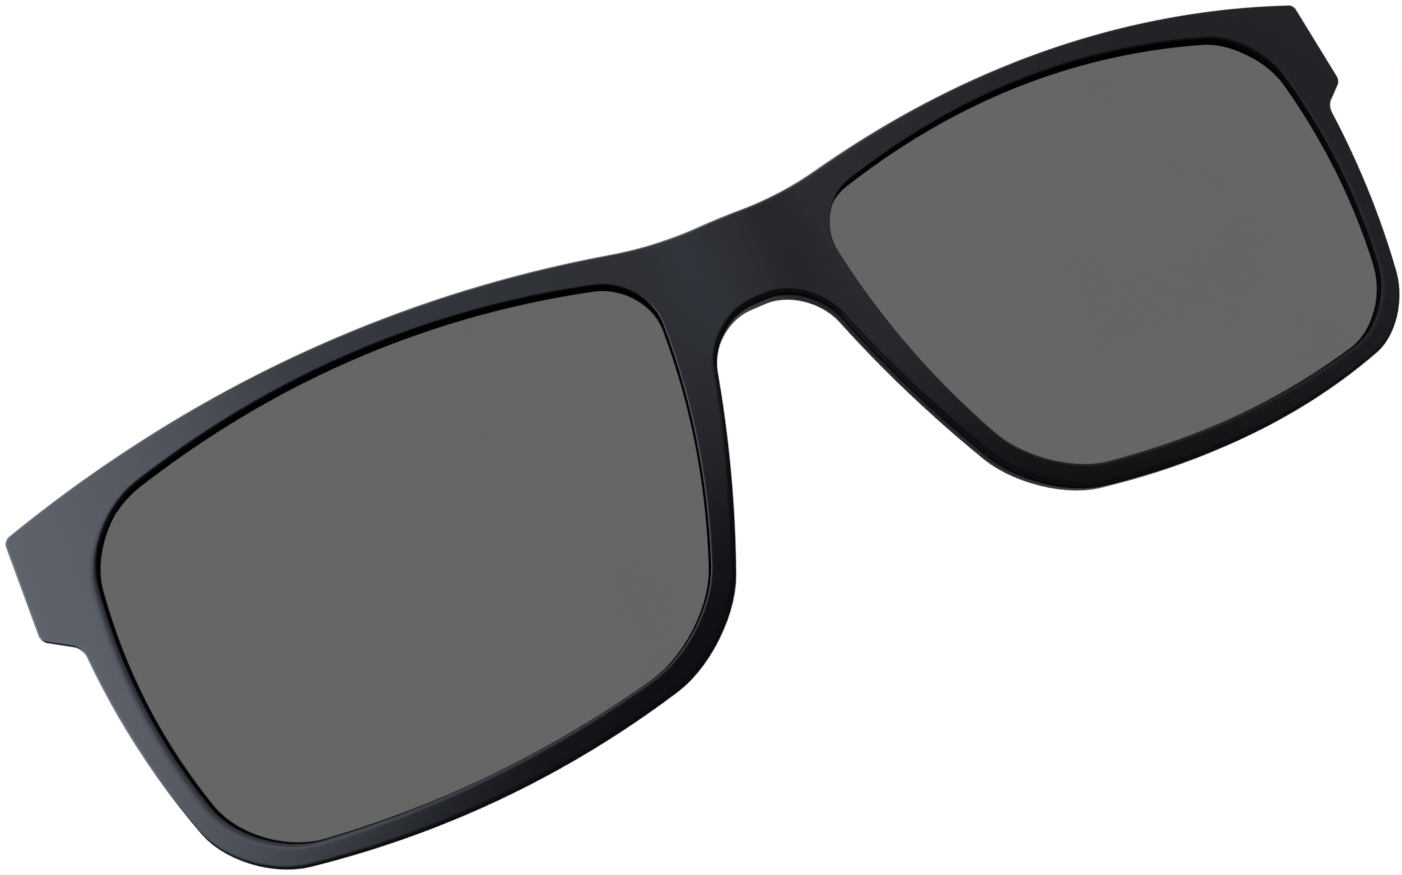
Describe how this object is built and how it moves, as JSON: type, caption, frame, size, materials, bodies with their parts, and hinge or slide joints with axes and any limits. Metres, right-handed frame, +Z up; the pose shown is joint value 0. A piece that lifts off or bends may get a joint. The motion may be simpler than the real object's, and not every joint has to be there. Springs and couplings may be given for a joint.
{
  "type": "flip-up clip-on lenses",
  "caption": "Clip-on spectacle front with grey tinted lenses that flips up on a friction hinge, held by a sprung hook clip behind its bridge.",
  "frame": {"origin": "middle of the rear face of the bridge pad, where the clip rests on the spectacle bridge", "axes": "+Z up as worn, +X to the right of someone who looks at the front, +Y from the front towards the wearer"},
  "size_m": [0.14, 0.0148, 0.0433],
  "materials": {
    "charcoal_plastic": "satin moulded charcoal",
    "grey_lens": "polished grey tint",
    "spring_steel": "drawn spring steel",
    "screw_steel": "bright turned steel",
    "black_case": "fine black moulding",
    "bronze_washer": "plain bronze",
    "grey_silicone": "soft matt silicone",
    "clear_vinyl": "clear soft vinyl"
  },
  "bodies": {
    "clip": {"clip_body": "black_case", "slide_cover": "black_case", "cover_screw_right": "screw_steel", "cover_screw_left": "screw_steel", "friction_washer_right": "bronze_washer", "friction_washer_left": "bronze_washer", "bridge_pad": "grey_silicone", "upper_hook_right": "spring_steel", "upper_hook_left": "spring_steel", "upper_sleeve_right": "clear_vinyl", "upper_sleeve_left": "clear_vinyl", "jaw_spring_right": "spring_steel", "jaw_spring_left": "spring_steel"},
    "front": {"front_frame": "charcoal_plastic", "lens_right": "grey_lens", "lens_left": "grey_lens", "hinge_leaf": "spring_steel", "hinge_pin": "spring_steel", "hinge_pin_collar": "spring_steel", "leaf_screw_right": "screw_steel", "leaf_screw_left": "screw_steel"},
    "jaw": {"jaw_slide": "spring_steel", "lower_hook": "spring_steel", "lower_sleeve": "clear_vinyl"}
  },
  "joints": [
    {"name": "flip", "type": "hinge", "parent": "clip", "child": "front", "pos_m": [0, -0.004, 0.00183], "axis": [-1, 0, 0], "range_deg": [0, 90]},
    {"name": "jaw_open", "type": "slide", "parent": "clip", "child": "jaw", "axis": [0, 0, -1], "range_m": [0, 0.002], "stiffness_N_per_m": 250, "springref_m": -0.004, "deforming": ["jaw_spring_right", "jaw_spring_left"]}
  ]
}
